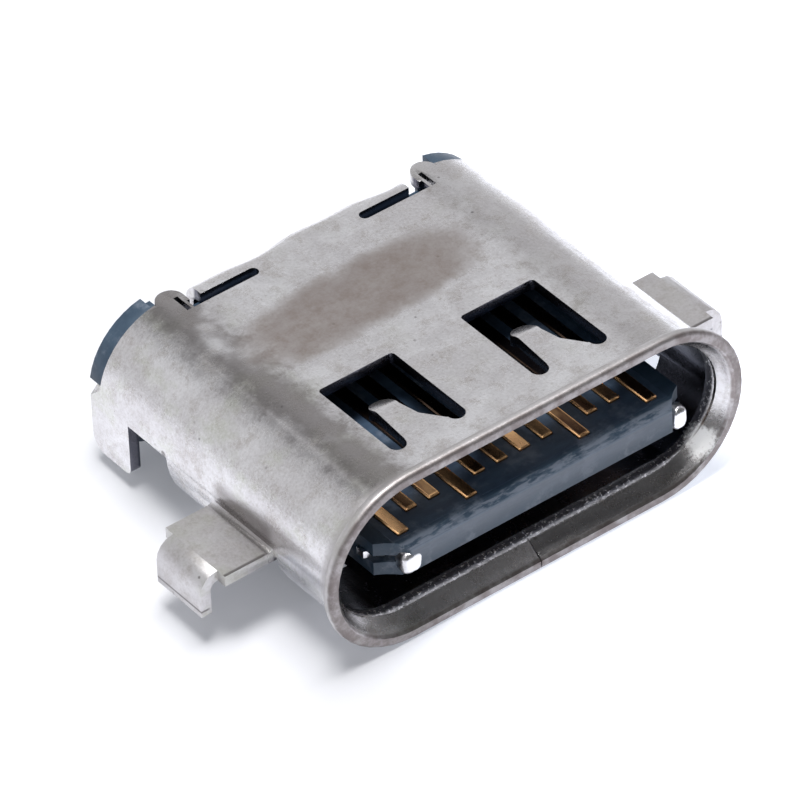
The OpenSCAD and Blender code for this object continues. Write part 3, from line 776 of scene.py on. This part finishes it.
def contact_row_tree():
    """Geometry nodes that set a row of contacts from one short and one long contact."""
    tree = bpy.data.node_groups.new("Contact row", "GeometryNodeTree")
    face = tree.interface
    for name, kind in (("Short contact", "NodeSocketObject"), ("Long contact", "NodeSocketObject"),
                       ("Count", "NodeSocketInt"), ("Pitch", "NodeSocketFloat"),
                       ("Finish", "NodeSocketMaterial")):
        face.new_socket(name, in_out="INPUT", socket_type=kind)
    face.new_socket("Row", in_out="OUTPUT", socket_type="NodeSocketGeometry")

    def add(kind, settings=None, sockets=None):
        made = tree.nodes.new(kind)
        for key, value in (settings or {}).items():
            setattr(made, key, value)
        for key, value in (sockets or {}).items():
            if isinstance(value, bpy.types.NodeSocket):
                tree.links.new(value, made.inputs[key])
            else:
                made.inputs[key].default_value = value
        return made

    given = add("NodeGroupInput").outputs
    step = add("ShaderNodeCombineXYZ", None, {"X": given["Pitch"]})
    line = add("GeometryNodeMeshLine", {"mode": "OFFSET"},
               {"Count": given["Count"], "Offset": step.outputs[0]})
    index = add("GeometryNodeInputIndex").outputs[0]
    # counted from the nearer end of the row, contacts 0 and 3 are the long ones
    last = add("ShaderNodeMath", {"operation": "SUBTRACT"}, {0: given["Count"], 1: 1.0})
    far = add("ShaderNodeMath", {"operation": "SUBTRACT"}, {0: last.outputs[0], 1: index})
    near = add("ShaderNodeMath", {"operation": "MINIMUM"}, {0: index, 1: far.outputs[0]})
    is_long = add("ShaderNodeMath", {"operation": "COMPARE"}, {0: near.outputs[0], 1: 1.5, 2: 1.55})
    edge = add("ShaderNodeMath", {"operation": "COMPARE"}, {0: near.outputs[0], 1: 1.5, 2: 0.6})
    choice = add("ShaderNodeMath", {"operation": "SUBTRACT"},
                 {0: is_long.outputs[0], 1: edge.outputs[0]})
    parts = add("GeometryNodeGeometryToInstance")
    for name in ("Long contact", "Short contact"):
        info = add("GeometryNodeObjectInfo", None, {"Object": given[name]})
        tree.links.new(info.outputs["Geometry"], parts.inputs[0])
    row = add("GeometryNodeInstanceOnPoints", None,
              {"Points": line.outputs[0], "Instance": parts.outputs[0], "Pick Instance": True,
               "Instance Index": choice.outputs[0]})
    real = add("GeometryNodeRealizeInstances", None, {0: row.outputs[0]})
    dressed = add("GeometryNodeSetMaterial", None, {0: real.outputs[0], "Material": given["Finish"]})
    add("NodeGroupOutput", None, {0: dressed.outputs[0]})
    return tree


def set_input(modifier, name, value):
    """Sets a modifier's input by the identifier of its socket."""
    for item in modifier.node_group.interface.items_tree:
        if item.name == name and item.in_out == "INPUT":
            modifier[item.identifier] = value
            return
    raise ValueError("no input " + name)


class SOCKET_OT_contacts(bpy.types.Operator):
    """Sets the upper and lower rows of contacts"""
    bl_idname = "socket.contacts"
    bl_label = "Contact rows"

    def execute(self, context):
        look = context.scene.socket_contacts
        gold = plated_gold(look)
        tree = contact_row_tree()
        for side, letter in (("upper", "a"), ("lower", "b")):
            nodes = ["contact_%s%02d" % (letter, i + 1) for i in range(look.count)]
            pair = {"Long contact": self.one(look, nodes[0], side + "_long"),
                    "Short contact": self.one(look, nodes[1], side + "_short")}
            row = new_piece(side + "_contacts", bpy.data.meshes.new(side + "_contacts"))
            modifier = row.modifiers.new("Row", "NODES")
            modifier.node_group = tree
            for name, value in (*pair.items(), ("Count", look.count), ("Pitch", look.pitch),
                                ("Finish", gold)):
                set_input(modifier, name, value)
            context.view_layer.update()
            settle(row)
            for part in pair.values():
                bpy.data.objects.remove(part)
            row.data.transform(Matrix.Translation((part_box(nodes[0])[0][0], 0.0, 0.0)))
            finish_piece(row, gold, nodes)
        return {"FINISHED"}

    def one(self, look, node, name):
        """A single contact with broken edges, moved along X to start at 0."""
        part = new_piece(name, cad_mesh(node, name))
        round_edges(part, look.edge, 1)
        part.data.transform(Matrix.Translation((-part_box(node)[0][0], 0.0, 0.0)))
        return part


class SOCKET_OT_stage(bpy.types.Operator):
    """Sets the pale floor, the soft lights and the camera"""
    bl_idname = "socket.stage"
    bl_label = "Stage"

    def execute(self, context):
        look = context.scene.socket_stage
        self.floor(look)
        self.room(look)
        self.lamp("key", place=(-20, -6, 124), size=36, power=0.115)
        self.lamp("fill", place=(16, 6, 126), size=40, power=0.070)
        self.lamp("glint", place=(-74, -53, 79), size=56, power=0.016)
        self.camera(context, look)
        return {"FINISHED"}

    def floor(self, look):
        """A sheet of paper on which the lip and the rear arms rest."""
        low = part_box("shell")[0][2]
        lip_y = 0.14 * MM
        slope = 0.0512
        half = 55 * MM
        corners = [(x, y, low + (y - lip_y) * slope) for x, y in
                   ((-half, -half), (half, -half), (half, half), (-half, half))]
        mesh = bpy.data.meshes.new("paper")
        mesh.from_pydata(corners, [], [(0, 1, 2, 3)])
        board = Board("white_paper")
        x, y = board.axes()[:2]
        # painted light on the paper: a glow, seen only by the camera and by reflections, that rises
        # towards the front and the right and washes out the object's shadow there
        front_right_glow = (x * 0.8 - y * 0.6).rise(-3.2, -0.6)
        lit = look.glow + front_right_glow * look.under + board.ray("Is Glossy Ray") * look.mirrored
        lit = lit * board.ray("Is Camera Ray", "Is Glossy Ray", "Is Transmission Ray")
        light = board.node("ShaderNodeEmission", None, {"Color": (*look.paper_light, 1), "Strength": 1.0})
        glow = board.node("ShaderNodeMixShader", None, {0: lit, 2: light})
        matt = board.node("ShaderNodeBsdfDiffuse", None, {"Color": (*look.floor, 1)})
        mesh.materials.append(board.close(board.node("ShaderNodeAddShader", None, {0: matt, 1: glow})))
        new_piece("paper", mesh)

    def room(self, look):
        """A pale room behind the table, dimmer on the side that the mouth faces."""
        world = bpy.data.worlds.new("room")
        bpy.context.scene.world = world
        board = Board("room", world)
        way = board.split(board.node("ShaderNodeTexCoord", out="Generated"))
        behind = way[1].rise(-0.45, 0.30)
        above = way[2].rise(0.66, 0.80)
        strength = (behind * (look.sky - look.sky_front) + look.sky_front) * (1.0 - above * 0.68)
        strength = strength.greatest(board.ray("Is Camera Ray"))
        back = board.node("ShaderNodeBackground", None, {"Color": (*look.room, 1), "Strength": 1.0})
        board.close(board.node("ShaderNodeMixShader", None, {0: strength, 2: back}))

    def lamp(self, name, place, size, power):
        """A soft square lamp that faces the socket."""
        light = bpy.data.lights.new(name, "AREA")
        light.shape = "SQUARE"
        light.size = size * MM
        light.energy = power
        lamp = bpy.data.objects.new(name, light)
        place = Vector(place) * MM
        turn = (place - AIM).to_track_quat("Z", "Y").to_matrix().to_4x4()
        lamp.matrix_world = Matrix.Translation(place) @ turn
        bpy.context.scene.collection.objects.link(lamp)

    def camera(self, context, look):
        """A far camera with a long lens, and the plain view transform."""
        az, el = look.azimuth, look.elevation
        back = Vector((math.sin(az) * math.cos(el), -math.cos(az) * math.cos(el), math.sin(el)))
        level = Vector((math.cos(az), math.sin(az), 0))
        above = back.cross(level)
        right = level * math.cos(look.roll) + above * math.sin(look.roll)
        up = above * math.cos(look.roll) - level * math.sin(look.roll)
        place = AIM + back * look.distance
        data = bpy.data.cameras.new("camera")
        data.sensor_width = 36
        data.lens = look.lens
        data.shift_x = -0.0183
        data.shift_y = -0.0112
        data.clip_start = 10 * MM
        data.clip_end = 2000 * MM
        camera = bpy.data.objects.new("camera", data)
        turn = Matrix((right, up, back)).transposed().to_4x4()
        camera.matrix_world = Matrix.Translation(place) @ turn
        context.scene.collection.objects.link(camera)
        context.scene.camera = camera
        context.scene.view_settings.view_transform = "Standard"


class SOCKET_PT_panel(bpy.types.Panel):
    """Lists the socket's pieces, with their sizes and colours"""
    bl_idname = "SOCKET_PT_panel"
    bl_label = "Board socket"
    bl_space_type = "VIEW_3D"
    bl_region_type = "UI"
    bl_category = "Socket"

    def draw(self, context):
        for maker in MAKERS:
            self.layout.operator(maker.bl_idname)
        for name, kind in LOOKS.items():
            box = self.layout.box()
            for key in kind.__annotations__:
                box.prop(getattr(context.scene, name), key)


LOOKS = {"socket_shell": ShellLook, "socket_plastic": PlasticLook, "socket_plates": PlateLook,
         "socket_contacts": ContactLook, "socket_stage": StageLook}
MAKERS = (SOCKET_OT_stage, SOCKET_OT_shell, SOCKET_OT_plastic, SOCKET_OT_plates, SOCKET_OT_contacts)


def register():
    for kind in (*LOOKS.values(), *MAKERS, SOCKET_PT_panel):
        bpy.utils.register_class(kind)
    for name, kind in LOOKS.items():
        setattr(bpy.types.Scene, name, PointerProperty(type=kind))


def unregister():
    for name in LOOKS:
        delattr(bpy.types.Scene, name)
    for kind in (SOCKET_PT_panel, *reversed(MAKERS), *reversed(LOOKS.values())):
        bpy.utils.unregister_class(kind)


def main():
    register()
    for maker in MAKERS:
        group, action = maker.bl_idname.split(".")
        getattr(getattr(bpy.ops, group), action)()


if __name__ == "__main__":
    main()
